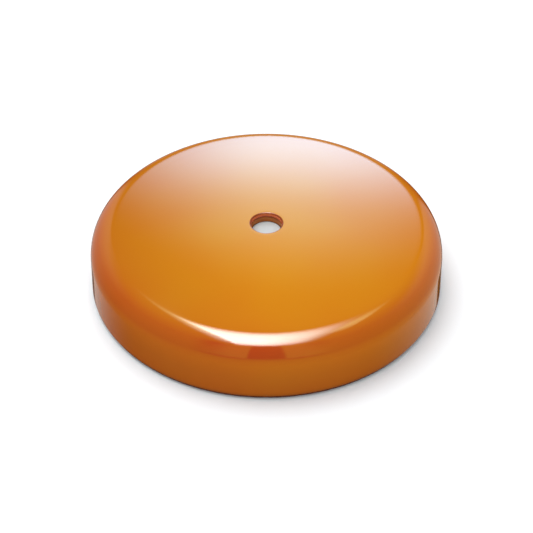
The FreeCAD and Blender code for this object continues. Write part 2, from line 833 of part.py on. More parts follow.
def button_collar():
    """Opaque tube between bridge and seal. Its lip holds the button down."""
    body = new_body("button_collar")
    lip_bore = button_radius + slide_gap
    lip_low = collar_top - collar_lip
    profile = [
        (collar_bore, bridge_top),
        (collar_foot, bridge_top),
        (collar_foot, bridge_top + collar_sheet),
        (collar_outer, bridge_top + collar_sheet),
        (collar_outer, collar_top - collar_sheet),
        (seal_radius, collar_top - collar_sheet),
        (seal_radius, collar_top),
        (lip_bore, collar_top),
        (lip_bore, lip_low),
        (collar_bore, lip_low),
    ]
    revolve(body, profile)
    soften(body, rings_at(collar_outer, bridge_top + collar_sheet), 0.3)
    soften(body, rings_at(collar_outer, collar_top - collar_sheet), 0.8)
    holes = [(collar_screw_x * s, 0, small_shank + hole_gap) for s in BOTH]
    sink(body, rounds(*holes), bridge_top + collar_sheet, collar_sheet)
    pattern = screw("collar_screw", length=collar_sheet + bridge_sheet + 2, **small_screw)
    pattern_z = bridge_top + collar_sheet
    copies("collar_screws", pattern, [(collar_screw_x * s, 0, pattern_z) for s in BOTH])


def hole_seal():
    body = new_body("hole_seal")
    profile = [
        (hole_radius, collar_top),
        (seal_radius, collar_top),
        (seal_radius, seal_top),
        (hole_radius, seal_top),
    ]
    revolve(body, profile)
    soften(body, rings_at(seal_radius, seal_top), 0.6)


def button():
    """Cap with a skirt that the collar's lip holds, and the plunger pressed into its boss."""
    cap = new_body("button_cap")
    shoulder = collar_top - collar_lip - slide_gap
    low = button_high - button_depth
    skirt = guide_radius - 1
    boss = plunger_radius + 1.4
    profile = [
        (0, button_under),
        (plunger_radius, button_under),
        (plunger_radius, button_under - 3.4),
        (boss, button_under - 3.4),
        (boss, button_under),
        (skirt, button_under),
        (skirt, low),
        (guide_radius, low),
        (guide_radius, shoulder),
        (button_radius, shoulder),
        (button_radius, button_high),
        (0, button_high),
    ]
    revolve(cap, profile)
    soften(cap, rings_at(button_radius, button_high), 0.5)
    plunger = new_body("button_plunger")
    tip = neck_top - plunger_reach
    profile = [
        (0, tip),
        (plunger_radius - 0.6, tip),
        (plunger_radius, tip + 0.6),
        (plunger_radius, button_under),
        (0, button_under),
    ]
    revolve(plunger, profile)


def button_spring():
    body = new_body("button_spring")
    sketch = sketch_on(body, "XZ_Plane")
    circle(sketch, spring_radius, nut_top + spring_wire, spring_wire)
    helix = body.newObject("PartDesign::AdditiveHelix", "button_spring_helix")
    helix.Profile = sketch
    helix.ReferenceAxis = (sketch, ["V_Axis"])
    helix.Mode = "height-turns-angle"
    bind(helix, "Height", button_under - nut_top - spring_wire * 2 - 0.05)
    bind(helix, "Turns", spring_turns)
    DOCUMENT.recompute()


# ------------------------------------------------------------------------ lamps and lampholders


def ridged(low, crest, turns):
    """(radius, height) points of a ring-shaped thread, upwards from low."""
    points = []
    for i in range(turns):
        z = low + thread_pitch * i
        points.append((crest - thread_depth, z))
        points.append((crest, z + thread_pitch * 0.3))
        points.append((crest, z + thread_pitch * 0.55))
        points.append((crest - thread_depth, z + thread_pitch * 0.85))
    return points


def lampholder(side, x):
    """Moulded socket with its threaded shell and centre contact, its own +Z towards the mouth."""
    where = {"x": x, "y": holder_back, "z": lamp_level, "turn": MOUTH_FRONT}
    body = new_body(f"lampholder_{side}")
    widened = holder_length - 6
    profile = [
        (0, 0),
        (holder_radius, 0),
        (holder_radius, holder_length),
        (mouth_radius, holder_length),
        (mouth_radius, widened),
        (socket_radius, widened - 1.5),
        (socket_radius, holder_floor),
        (0, holder_floor),
    ]
    revolve(body, profile)
    soften(body, rings_at(holder_radius, holder_length), 1)
    screws = [(holder_screw_x * s, 0, small_shank + hole_gap) for s in BOTH]
    cores = [(core_x * s, core_rise, wire_radius + 0.2) for s in BOTH]
    sink(body, rounds(*screws, *cores), 7, 7)
    place(body, **where)

    shell = new_body(f"thread_shell_{side}")
    ridge = shell_radius + thread_depth
    inside = ridged(holder_floor, ridge, 6)
    outside = [(radius + shell_sheet, z) for radius, z in reversed(inside)]
    revolve(shell, inside + outside)
    place(shell, **where)

    contact = new_body(f"centre_contact_{side}")
    high = lamp_start - 0.3
    profile = [
        (0, holder_floor),
        (3.6, holder_floor),
        (3.6, holder_floor + 0.5),
        (1.8, high),
        (0, high),
    ]
    revolve(contact, profile)
    place(contact, **where)


def holder_bracket(side, x):
    """Steel angle behind a lampholder."""
    body = new_body(f"holder_bracket_{side}")
    back, low, sheet = holder_back, floor_top, bracket_sheet
    end = back + sheet + bracket_foot
    profile = [
        (back, low),
        (end, low),
        (end, low + sheet),
        (back + sheet, low + sheet),
        (back + sheet, bracket_top),
        (back, bracket_top),
    ]
    extrude(body, "YZ_Plane", lambda sketch: outline(sketch, profile), bracket_width)
    soften(body, lines_at(0, (back, low)), sheet * 1.5)
    half = bracket_width / 2
    soften(body, lines_at(2, *[(half * s, end) for s in BOTH]), 3)
    tops = [(half * s, bracket_top) for s in BOTH]
    soften(body, lines_at(1, *tops), 3)
    feet_holes = [(half / 2 * s, bracket_screw_y, screw_shank + hole_gap) for s in BOTH]
    pierce(body, "XY_Plane", rounds(*feet_holes))
    plate_holes = [(holder_screw_x * s, lamp_level, small_shank + hole_gap) for s in BOTH]
    pierce(body, "XZ_Plane", rounds(*plate_holes))
    place(body, x)


def holder_fixings():
    pattern = screw("holder_screw", length=bracket_sheet + 5, **small_screw)
    backs = [
        (lamp_offset * side + holder_screw_x * s, holder_back + bracket_sheet, lamp_level)
        for side in BOTH
        for s in BOTH
    ]
    copies("holder_screws", pattern, [(*where, HEAD_BACK) for where in backs])
    length = bracket_sheet + pan_sheet + screw_reach
    pattern = screw("bracket_screw", length=length, **assembly_screw)
    copies("bracket_screws", pattern, [(x, y, screw_seat) for x, y in bracket_screws])


def lamp(side, x):
    """Small screw-cap lamp, its own +Z from the contact to the tip."""
    where = {"x": x, "y": holder_back, "z": lamp_level, "turn": MOUTH_FRONT}
    low = lamp_start
    wall = bulb_wall

    base = new_body(f"lamp_base_{side}")
    profile = [
        (0, low),
        (1.6, low),
        (2.2, low + 0.8),
        (2.2, low + 1.2),
        (5.4, low + 3.2),
        (5.4, low + 4.6),
        (0, low + 4.6),
    ]
    revolve(base, profile)
    place(base, **where)

    cap = new_body(f"lamp_cap_{side}")
    thread = ridged(low + 4.4, lamp_crest, 4)
    top = low + 4.4 + thread_pitch * 4
    bore = bulb_neck + 0.2
    profile = [(bore - 0.4, low + 3.4), *thread, (lamp_crest, top), (lamp_crest, top + 1)]
    profile += [(bore, top + 1), (bore, low + 4.9), (bore - 0.4, low + 4.9)]
    revolve(cap, profile)
    place(cap, **where)

    glass = new_body(f"lamp_glass_{side}")
    tip = low + lamp_length
    middle = tip - bulb_radius
    mouth, waist, chest = low + 6, low + 18, middle - 9
    profile = [
        (bulb_neck, mouth),
        (bulb_neck, waist),
        (bulb_radius, chest),
        (bulb_radius, middle),
        (0, tip),
        (0, tip - wall),
        (bulb_radius - wall, middle),
        (bulb_radius - wall, chest + wall * 0.2),
        (bulb_neck - wall, waist + wall * 0.2),
        (bulb_neck - wall, mouth),
    ]
    revolve(glass, profile, {3: ("left", 0, middle), 5: ("right", 0, middle)})
    soften(glass, rings_at(bulb_radius, chest), 6)
    soften(glass, rings_at(bulb_neck, waist), 3)
    place(glass, **where)

    stem = new_body(f"lamp_stem_{side}")
    flare = bulb_neck - wall - 0.2
    profile = [
        (0, mouth + 0.4),
        (flare, mouth + 0.4),
        (flare, mouth + 1.2),
        (2, mouth + 5),
        (2, waist + 9),
        (0, waist + 9),
    ]
    revolve(stem, profile)
    place(stem, **where)

    foot, eave = waist + 9.2, waist + 20
    points = [(-1.4, 0, foot), (-7, 0, eave), (-3.4, 0, eave + 3.5), (0, 0, eave + 0.5)]
    points += [(3.4, 0, eave + 3.5), (7, 0, eave), (1.4, 0, foot)]
    filament = strand(f"lamp_filament_{side}", points, 0.22, 0.2)
    place(filament, **where)


# ------------------------------------------------------------------------- terminals and wires


def terminal_block():
    """Three poles, the middle and right one joined by a link below their rear screws."""
    body = new_body("terminal_block")
    long, wide, top = block_length, block_depth, block_height
    extrude(body, "XY_Plane", rectangle(0, 0, long, wide), top, middle=False)
    uprights = [(long / 2 * sx, wide / 2 * sy) for sx in BOTH for sy in BOTH]
    soften(body, lines_at(2, *uprights), 1.2)
    crest = pole_level + tube_radius
    rows = [pole_screw_y * s for s in BOTH]
    pierce(body, "XZ_Plane", rounds(*[(x, pole_level, tube_radius + 0.05) for x in poles]))
    wells = [(x, y, 1.9) for x in poles for y in rows]
    sink(body, rounds(*wells), top, top - pole_level)
    fixings = [(pole_pitch / 2 * s, 0, small_shank + hole_gap) for s in BOTH]
    sink(body, rounds(*fixings), top, top)
    joined = (poles[1] + poles[2]) / 2
    link_long = pole_pitch + 4
    channel = rectangle(joined, pole_screw_y, link_long + 0.4, 4.4)
    sink(body, channel, top, top - crest)
    place(body, 0, block_y, floor_top)

    link = new_body("terminal_link")
    plate = rectangle(joined, pole_screw_y, link_long, 4)
    extrude(link, "XY_Plane", plate, 0.6, shift=crest, middle=False)
    pierce(link, "XY_Plane", rounds(*[(x, pole_screw_y, 1.6) for x in poles[1:]]))
    place(link, 0, block_y, floor_top)

    tube = new_body("terminal_tube", keep=False)
    ring = rounds((0, 0, tube_radius), (0, 0, tube_bore))
    extrude(tube, "XZ_Plane", ring, wide - 2)
    sink(tube, rounds(*[(0, y, 1.55) for y in rows]), tube_radius, tube_radius)
    copies("terminal_tubes", tube, [(x, block_y, pole_z) for x in poles])

    grub = new_body("terminal_screw", keep=False)
    profile = [(0, 0), (1.1, 0), (1.5, 0.4), (1.5, 3.4), (0, 3.4)]
    revolve(grub, profile)
    sink(grub, rectangle(0, 0, 3.4, 0.6), 3.4, 0.9)
    grub_z = pole_z + wire_radius + 0.3
    places = [(x, block_y + y, grub_z) for x in poles for y in rows]
    copies("terminal_screws", grub, places)

    pattern = screw("block_screw", length=block_height + pan_sheet + screw_reach, **small_screw)
    places = [(pole_pitch / 2 * s, block_y, floor_top + block_height) for s in BOTH]
    copies("block_screws", pattern, places)


def earth_terminal():
    washer = new_body("earth_washer")
    disc = rounds((0, 0, screw_head + 1.4), (0, 0, screw_shank + hole_gap))
    extrude(washer, "XY_Plane", disc, earth_sheet, shift=floor_top, middle=False)
    place(washer, earth_x, earth_y)
    length = earth_sheet + pan_sheet + screw_reach
    pattern = screw("earth_pattern", length=length, **assembly_screw)
    copies("earth_screw", pattern, [(earth_x, earth_y, floor_top + earth_sheet)])


def wires():
    """Insulated cores. Each has its ends in a terminal, a holder or at a switch tab."""
    inner_end = block_y - pole_screw_y + 2
    front = block_y - block_depth / 2
    at_tab = tab_reach + 0.05
    into = holder_back - 5

    def cross(points):
        return strand(points[0], points[1:], wire_radius, 0.45)

    cross(
        [
            "live_wire",
            (poles[0], inner_end, pole_z),
            (poles[0], front - 4, pole_z),
            (poles[0], front - 12, pole_z + 6),
            (0, front - 22, pole_z + 6),
            (0, tab_reach + 14, tab_level),
            (0, at_tab, tab_level),
        ]
    )
    for (name, side), pole in zip(SIDES.items(), poles[1:]):
        holder_x = lamp_offset * side
        near, far = holder_x - core_x * side, holder_x + core_x * side
        gap_x = holder_x - (holder_radius + 4) * side
        cross(
            [
                f"switched_wire_{name}",
                (tab_pitch * side, at_tab, tab_level),
                (tab_pitch * side, holder_back - 8, tab_level),
                (gap_x, holder_back - 4, tab_level + 2),
                (gap_x, holder_back + 10, lamp_level - 2),
                (near, holder_back + 10, core_z),
                (near, into, core_z),
            ]
        )
        pass_x = gap_x - 6 * side
        cross(
            [
                f"neutral_wire_{name}",
                (pole, inner_end, pole_z),
                (pole, front - 3, pole_z),
                (pole, front - 9, tab_level + 0.5),
                (pass_x, front - 9, tab_level + 0.5),
                (pass_x, holder_back + 20, lamp_level - 4),
                (far, holder_back + 20, core_z),
                (far, into, core_z),
            ]
        )


# -------------------------------------------------------------------------------- everything

glass_cover()
base_pan()
rim_seal()
feet()
clips()
cable_grommet()
switch_bridge()
switch()
neck_fixings()
button_collar()
hole_seal()
button()
button_spring()
for side, way in SIDES.items():
    lampholder(side, lamp_offset * way)
    holder_bracket(side, lamp_offset * way)
    lamp(side, lamp_offset * way)
holder_fixings()
terminal_block()
earth_terminal()
wires()
DOCUMENT.recompute()

for thing in DOCUMENT.Objects:
    if {"Invalid", "Error"} & set(thing.State):
        sys.exit(f"{thing.Label}: {thing.State}")
for node in NODES:
    if node.Shape.isNull() or not node.Shape.isValid():
        sys.exit(f"{node.Label} has no valid shape")
os.makedirs("parts", exist_ok=True)
for node in NODES:
    node.Shape.exportStep(f"parts/{node.Label}.step")
print(f"{len(NODES)} nodes")
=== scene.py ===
import json
import math

import bmesh
import bpy
from mathutils import Matrix, Vector


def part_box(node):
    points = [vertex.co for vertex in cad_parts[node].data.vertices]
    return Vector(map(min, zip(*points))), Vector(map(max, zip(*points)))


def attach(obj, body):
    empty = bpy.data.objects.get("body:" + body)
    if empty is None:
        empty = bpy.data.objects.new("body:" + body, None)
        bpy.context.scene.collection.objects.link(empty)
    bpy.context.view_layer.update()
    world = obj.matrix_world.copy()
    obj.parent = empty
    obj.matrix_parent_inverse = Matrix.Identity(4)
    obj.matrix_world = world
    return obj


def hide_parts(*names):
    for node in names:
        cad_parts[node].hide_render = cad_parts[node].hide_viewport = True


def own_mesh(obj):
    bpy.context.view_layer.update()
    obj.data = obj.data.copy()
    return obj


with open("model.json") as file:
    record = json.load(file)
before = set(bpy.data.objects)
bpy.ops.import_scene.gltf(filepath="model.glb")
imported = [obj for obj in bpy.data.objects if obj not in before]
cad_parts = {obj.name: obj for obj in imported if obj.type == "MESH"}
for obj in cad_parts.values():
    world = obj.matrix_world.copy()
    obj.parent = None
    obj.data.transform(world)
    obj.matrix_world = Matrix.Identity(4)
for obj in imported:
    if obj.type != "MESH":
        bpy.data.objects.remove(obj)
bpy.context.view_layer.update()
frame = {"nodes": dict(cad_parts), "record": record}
NODES = frame["nodes"]
SIDES = {"left": -1, "right": 1}

# The glass cover, in metres: its outside, thickness and bore, and the arcs of its section.
# The crown is part of a large sphere, and the corner joins it to the upright wall.
COVER = {"radius": 0.110, "top": 0.0468, "foot": 0.002, "wall": 0.0032, "hole": 0.0097}
CROWN = 0.858
CORNER = 0.0162


# -------------------------------------------------------------------------------- node trees


def colour(sheet_value):
    """An sRGB hex value as linear RGBA."""
    parts = [int(sheet_value[i : i + 2], 16) / 255 for i in (0, 2, 4)]
    linear = [p / 12.92 if p <= 0.04045 else ((p + 0.055) / 1.055) ** 2.4 for p in parts]
    return (*linear, 1.0)


class Tree:
    """Adds nodes to one node tree."""

    def __init__(self, tree):
        self.tree = tree

    def give(self, socket, value):
        """Sets a socket to a value, or links it to another node's output."""
        if isinstance(value, bpy.types.NodeSocket):
            self.tree.links.new(value, socket)
        else:
            socket.default_value = value

    def add(self, kind, inputs=None, **settings):
        """Adds a node with its settings. Inputs are values or other nodes' outputs."""
        node = self.tree.nodes.new(kind)
        for name, value in settings.items():
            setattr(node, name, value)
        for key, value in (inputs or {}).items():
            self.give(node.inputs[key], value)
        return node

    def maths(self, operation, first, second=0.0):
        node = self.add("ShaderNodeMath", {0: first, 1: second}, operation=operation)
        return node.outputs[0]

    def spread(self, value, low, high, start=0.3, end=0.7, smooth=False):
        """Maps a value from start..end onto low..high."""
        inputs = {"Value": value, "From Min": start, "From Max": end}
        inputs.update({"To Min": low, "To Max": high})
        kind = "SMOOTHSTEP" if smooth else "LINEAR"
        node = self.add("ShaderNodeMapRange", inputs, interpolation_type=kind)
        return node.outputs["Result"]

    def mix(self, share, first, second):
        node = self.add("ShaderNodeMix", data_type="RGBA")
        for socket, value in ((0, share), (6, first), (7, second)):
            self.give(node.inputs[socket], value)
        return node.outputs[2]

    def ramp(self, value, *stops):
        """A table of (place, colour) stops."""
        node = self.add("ShaderNodeValToRGB", {"Fac": value})
        ramp = node.color_ramp
        while len(ramp.elements) < len(stops):
            ramp.elements.new(0.5)
        for element, (where, shade) in zip(ramp.elements, stops):
            element.position = where
            element.color = shade
        return node.outputs["Color"]


class Finish(Tree):
    """A material that ends in one Principled BSDF."""

    def __init__(self, name, **surface):
        self.material = bpy.data.materials.new(name)
        self.material.use_nodes = True
        super().__init__(self.material.node_tree)
        self.bsdf = next(n for n in self.tree.nodes if n.type == "BSDF_PRINCIPLED")
        for socket, value in surface.items():
            self.set(socket.replace("_", " "), value)

    def set(self, socket, value):
        self.give(self.bsdf.inputs[socket], value)

    def place(self):
        return self.add("ShaderNodeTexCoord").outputs["Object"]

    def noise(self, scale, detail=3.0, roughness=0.5):
        """Noise whose largest cells are scale metres across."""
        inputs = {"Vector": self.place(), "Scale": 1 / scale}
        inputs.update({"Detail": detail, "Roughness": roughness})
        return self.add("ShaderNodeTexNoise", inputs).outputs["Fac"]

    def bump(self, height, depth):
        """Bump whose full height is depth metres."""
        inputs = {"Height": height, "Distance": depth, "Strength": 1.0}
        return self.add("ShaderNodeBump", inputs).outputs["Normal"]


class Grower(Tree):
    """A geometry tree that works on a seed mesh."""

    def __init__(self, name, *sockets):
        tree = bpy.data.node_groups.new(name, "GeometryNodeTree")
        wanted = [("Geometry", "Geometry"), ("Material", "Material")]
        wanted += [(label, "Float") for label in sockets]
        for label, kind in wanted:
            tree.interface.new_socket(label, in_out="INPUT", socket_type=f"NodeSocket{kind}")
        tree.interface.new_socket("Geometry", in_out="OUTPUT", socket_type="NodeSocketGeometry")
        super().__init__(tree)
        self.given = self.add("NodeGroupInput").outputs

    def arrow(self, operation, first, second):
        inputs = {0: first, 3 if operation == "SCALE" else 1: second}
        node = self.add("ShaderNodeVectorMath", inputs, operation=operation)
        return node.outputs["Vector"]

    def close(self, geometry):
        real = self.add("GeometryNodeRealizeInstances", {"Geometry": geometry}).outputs[0]
        inputs = {"Geometry": real, "Material": self.given["Material"]}
        dressed = self.add("GeometryNodeSetMaterial", inputs).outputs[0]
        self.add("NodeGroupOutput", {"Geometry": dressed})
        return self.tree


# ---------------------------------------------------------------------------------- materials


def amber_glass():
    """Amber glass cased over white opal, blown into a mould and fire-polished: a deep colour
    with a mirror gloss. Its colour carries painted shade and light: darker down the wall to a
    dark line at the foot, a darker band on the shoulder, and a darker left side, as painted
    shade; a yellower back, as painted light; and a redder, darker patch at the front of the
    shoulder, as a painted reflection of a dark figure."""
    paint = Finish("amber_cased_glass", Roughness=0.03, IOR=1.5)
    axes = paint.add("ShaderNodeSeparateXYZ", {0: paint.place()}).outputs
    height = paint.spread(axes["Z"], 0, 1, 0.0, COVER["top"])
    # Painted shade: the colour runs darker down the wall to a dark line at the foot, with a
    # darker, redder band on the shoulder, and lighter towards the top.
    stops = [
        (2.0, "743812"),
        (2.9, "9a521a"),
        (5.0, "ae5d1b"),
        (16.0, "b1611b"),
        (26.0, "ba661b"),
        (29.0, "b9631b"),
        (31.5, "b45a1a"),
        (37.0, "b65a19"),
        (39.0, "ba6218"),
        (41.8, "be7116"),
        (44.7, "c27916"),
        (46.8, "c68416"),
    ]
    top = COVER["top"] * 1000
    amber_with_height_shade = paint.ramp(height, *[(level / top, colour(shade)) for level, shade in stops])
    # Painted shade: the left side is made darker.
    left = paint.spread(axes["X"], 0.17, 0, -0.105, 0.0)
    # Painted light: the back is made yellower and brighter.
    back = paint.spread(axes["Y"], 0, 0.13, -0.09, 0.09)
    cloud = paint.spread(paint.noise(0.07, 2, 0.5), -0.05, 0.05, 0.35, 0.65)
    # Painted reflection: a redder, darker patch at the front of the shoulder stands for a dark
    # figure mirrored in the glass.
    shoulder = paint.maths(
        "MULTIPLY",
        paint.spread(axes["Z"], 0, 1, 0.0303, 0.0317, True),
        paint.spread(axes["Z"], 1, 0, 0.037, 0.0385, True),
    )
    aside = paint.maths("ABSOLUTE", paint.maths("ADD", axes["X"], 0.003))
    middle = paint.maths("MULTIPLY", shoulder, paint.spread(axes["Y"], 1, 0, -0.1, -0.09))
    front = paint.maths("MULTIPLY", middle, paint.spread(aside, 0.4, 0, 0.022, 0.045, True))
    red = paint.maths("SUBTRACT", 1.0, left)
    green = paint.maths("SUBTRACT", red, paint.maths("MULTIPLY", left, 0.4))
    red = paint.maths("SUBTRACT", red, paint.maths("MULTIPLY", front, 0.2))
    green = paint.maths("SUBTRACT", green, front)
    green = paint.maths("ADD", paint.maths("ADD", green, back), cloud)
    share = paint.add("ShaderNodeCombineXYZ", {"X": red, "Y": green, "Z": 1.0})
    shade = paint.add(
        "ShaderNodeVectorMath", {0: amber_with_height_shade, 1: share.outputs[0]}, operation="MULTIPLY"
    )
    paint.set("Base Color", shade.outputs[0])
    ripple = paint.noise(0.05, 2, 0.5)
    paint.set("Normal", paint.bump(ripple, 0.00002))
    return paint.material


def opal_glass():
    """White opal lining of the cased glass, fire-polished."""
    paint = Finish("white_opal_glass", Roughness=0.12, IOR=1.5)
    shade = paint.spread(paint.noise(0.03, 2), 0, 1)
    paint.set("Base Color", paint.mix(shade, colour("efe3cf"), colour("f5ecdc")))
    paint.set("Normal", paint.bump(paint.noise(0.02, 2), 0.00003))
    return paint.material


def bore_glass():
    """The lip and wall of the hole, ground and lightly flame-softened: satin, and darker than
    the crown. Painted shade makes it darkest at the foot of the bore and dark again at the
    lip, with the orange glass between."""
    paint = Finish("amber_ground_glass", IOR=1.5)
    axes = paint.add("ShaderNodeSeparateXYZ", {0: paint.place()}).outputs
    depth = paint.spread(axes["Z"], 0, 1, 0.0434, 0.0468)
    # Painted shade: darkest at the foot of the bore and dark again at the lip.
    stops = [(0, "8c2c10"), (0.2, "9a3612"), (0.32, "d0601c"), (0.72, "cc5c1a"), (0.84, "8a3c14")]
    paint.set("Base Color", paint.ramp(depth, *[(at, colour(shade)) for at, shade in stops]))
    paint.set("Roughness", paint.spread(paint.noise(0.0006, 3), 0.22, 0.3))
    paint.set("Normal", paint.bump(paint.noise(0.0006, 3), 0.00001))
    return paint.material


def enamelled_steel():
    """Fused enamel on pressed steel: white and glassy, with a light orange-peel, and an
    amber-brown band along the rim, which is painted shade standing in for the dark shaded
    line under the glass foot."""
    paint = Finish("white_enamel_brown_rim", IOR=1.5)
    axes = paint.add("ShaderNodeSeparateXYZ", {0: paint.place()}).outputs
    flat = paint.add("ShaderNodeCombineXYZ", {"X": axes["X"], "Y": axes["Y"]}).outputs[0]
    radius = paint.add("ShaderNodeVectorMath", {0: flat}, operation="LENGTH").outputs["Value"]
    peel = paint.noise(0.0035, 2, 0.4)
    # Painted shade: the amber-brown rim band stands in for the shaded dark line under the glass
    # foot.
    rim = paint.spread(radius, 0, 1, 0.1046, 0.1050, True)
    white = paint.mix(paint.spread(paint.noise(0.03, 3), 0, 1), colour("d9d7d0"), colour("d3d1c9"))
    paint.set("Base Color", paint.mix(rim, white, colour("5e2a12")))
    paint.set("Roughness", paint.spread(peel, 0.12, 0.2))
    paint.set("Normal", paint.bump(peel, 0.00003))
    return paint.material


def clear_glass():
    """Thin blown lamp glass: almost unseen face on, and a bright line where it turns away."""
    paint = Finish("clear_lamp_glass", Roughness=0.02, IOR=1.5)
    paint.set("Base Color", colour("5c6466"))
    facing = paint.add("ShaderNodeLayerWeight", {"Blend": 0.35}).outputs["Facing"]
    paint.set("Alpha", paint.spread(paint.maths("POWER", facing, 2.0), 0.1, 0.75, 0, 1))
    paint.set("Normal", paint.bump(paint.noise(0.012, 2), 0.00004))
    return paint.material


def plain(name, shade, other, roughness, cell, depth, **surface):
    """Two close shades in cells of noise, with a fine bump of the same cells."""
    paint = Finish(name, **surface)
    grain = paint.noise(cell, 4, 0.6)
    blotch = paint.spread(paint.noise(cell * 14, 3), 0, 1)
    paint.set("Base Color", paint.mix(blotch, colour(shade), colour(other)))
    paint.set("Roughness", paint.spread(grain, roughness * 0.8, roughness * 1.2))
    paint.set("Normal", paint.bump(grain, depth))
    return paint.material


# Shades are close pairs. Numbers are the roughness, the grain's cell and the grain's depth, in
# metres. The room that gloss mirrors is mostly dark, so plated metals keep some plain shade.
PLATED = {"Metallic": 0.6}
MATERIALS = {
    "amber_glass": amber_glass(),
    "opal_glass": opal_glass(),
    "bore_glass": bore_glass(),
    "enamel": enamelled_steel(),
    # Pressed wool felt: black, dull and fibrous.
    "felt": plain("black_felt", "161514", "22201e", 0.95, 0.0004, 0.0002),
    # Moulded rubber: near black and matt, with a dry bloom.
    "black_rubber": plain("black_rubber", "1a1a1a", "222120", 0.7, 0.0005, 0.00003),
    # Hardened strip, rolled bright: a cool, smooth grey.
    "spring_steel": plain("spring_steel", "b4b5b7", "a8aaac", 0.3, 0.003, 0.0000004, **PLATED),
    # Moulded silicone: milky and soft.
    "silicone": plain("milky_silicone", "d8d6cc", "cfcdc2", 0.5, 0.001, 0.00002),
    "brown_silicone": plain("brown_silicone", "b4661e", "a85c1a", 0.45, 0.001, 0.00002),
    # Electroplated zinc: pale grey, satin, faintly clouded.
    "zinc_plate": plain(
        "zinc_plated_steel", "bdbebb", "b2b4b2", 0.33, 0.0009, 0.0000012, **PLATED
    ),
    # Bright nickel over rolled brass: warm, and the shiniest of the metals.
    "nickel_plate": plain(
        "nickel_plated_brass", "c9c3b6", "bdb7aa", 0.2, 0.0009, 0.0000008, **PLATED
    ),
    # Pressed and turned brass, unplated: yellow, slightly dulled.
    "brass": plain("plain_brass", "c59a4c", "b88c42", 0.25, 0.0008, 0.0000008, **PLATED),
    # Phenolic moulding: black with a low polish.
    "black_plastic": plain("black_phenolic", "161616", "1d1c1b", 0.35, 0.0006, 0.00001),
    # Spark-textured moulding: even light grey, with soft highlights.
    "grey_plastic": plain("grey_plastic", "bcc3c4", "b8bfc0", 0.45, 0.0005, 0.00001),
    # Undyed nylon: ivory and waxy.
    "nylon": plain("natural_nylon", "e6e2d4", "ddd8c8", 0.4, 0.001, 0.00001),
    # Glossy heat-proof moulding: white, like glazed ceramic.
    "white_moulding": plain("white_moulding", "ecebe5", "e6e4dd", 0.22, 0.001, 0.00001),
    # Drawn wire: dark grey with a dull shine.
    "tungsten": plain("tungsten_wire", "77787a", "6c6d70", 0.35, 0.0003, 0.000002, **PLATED),
    # Extruded insulation: strong colour with a smooth, soft gloss.
    "brown_pvc": plain("brown_insulation", "5a3118", "522c15", 0.35, 0.0008, 0.00001),
    "blue_pvc": plain("blue_insulation", "2a5fa8", "2657a0", 0.35, 0.0008, 0.00001),
    "clear_glass": clear_glass(),
}


# ------------------------------------------------------------------------------- mesh helpers


def arc(centre, radius, start, end, steps):
    """(radius, height) points on an arc, angles in degrees from the outward direction."""
    angles = [math.radians(start + (end - start) * i / steps) for i in range(steps + 1)]
    return [
        (centre[0] + radius * math.cos(a), centre[1] + radius * math.sin(a)) for a in angles
    ]


def lathe_data(profile, around):
    """Vertices and faces of a closed (radius, height) profile turned about Z."""
    count = len(profile)
    vertices = []
    for i in range(around):
        angle = 2 * math.pi * i / around
        c, s = math.cos(angle), math.sin(angle)
        vertices += [(r * c, r * s, z) for r, z in profile]
    faces = []
    for i in range(around):
        j = (i + 1) % around
        for k in range(count):
            m = (k + 1) % count
            faces.append((i * count + k, j * count + k, j * count + m, i * count + m))
    return vertices, faces


def turned(name, profile, around):
    """The mesh of a closed (radius, height) profile turned about Z."""
    vertices, faces = lathe_data(profile, around)
    mesh = bpy.data.meshes.new(name)
    mesh.from_pydata(vertices, [], faces)
    return mesh


def path_mesh(name, points):
    """A path of edges through points."""
    mesh = bpy.data.meshes.new(name)
    mesh.from_pydata(points, [(i, i + 1) for i in range(len(points) - 1)], [])
    return mesh


def grown(name, tree, seed, values, place):
    """Runs a geometry tree on a seed mesh, and gives the plain mesh, moved to its place."""
    holder = bpy.data.objects.new(f"{name}_seed", seed)
    bpy.context.scene.collection.objects.link(holder)
    modifier = holder.modifiers.new(tree.name, "NODES")
    modifier.node_group = tree
    sockets = {i.name: i.identifier for i in tree.interface.items_tree if i.in_out == "INPUT"}
    for label, value in values.items():
        modifier[sockets[label]] = value
    graph = bpy.context.evaluated_depsgraph_get()
    mesh = bpy.data.meshes.new_from_object(holder.evaluated_get(graph))
    bpy.data.objects.remove(holder)
    mesh.transform(place)
    mesh.polygons.foreach_set("use_smooth", [True] * len(mesh.polygons))
    mesh.name = name
    return mesh


def keep(mesh, body, node):
    """Shows a finished mesh in place of a CAD node, on one of the light's bodies."""
    work = bmesh.new()
    work.from_mesh(mesh)
    bmesh.ops.recalc_face_normals(work, faces=work.faces)
    work.to_mesh(mesh)
    work.free()
    piece = bpy.data.objects.new(mesh.name, mesh)
    bpy.context.scene.collection.objects.link(piece)
    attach(piece, body)
    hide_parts(node)
    return piece


# ------------------------------------------------------------------------------ the glass cover


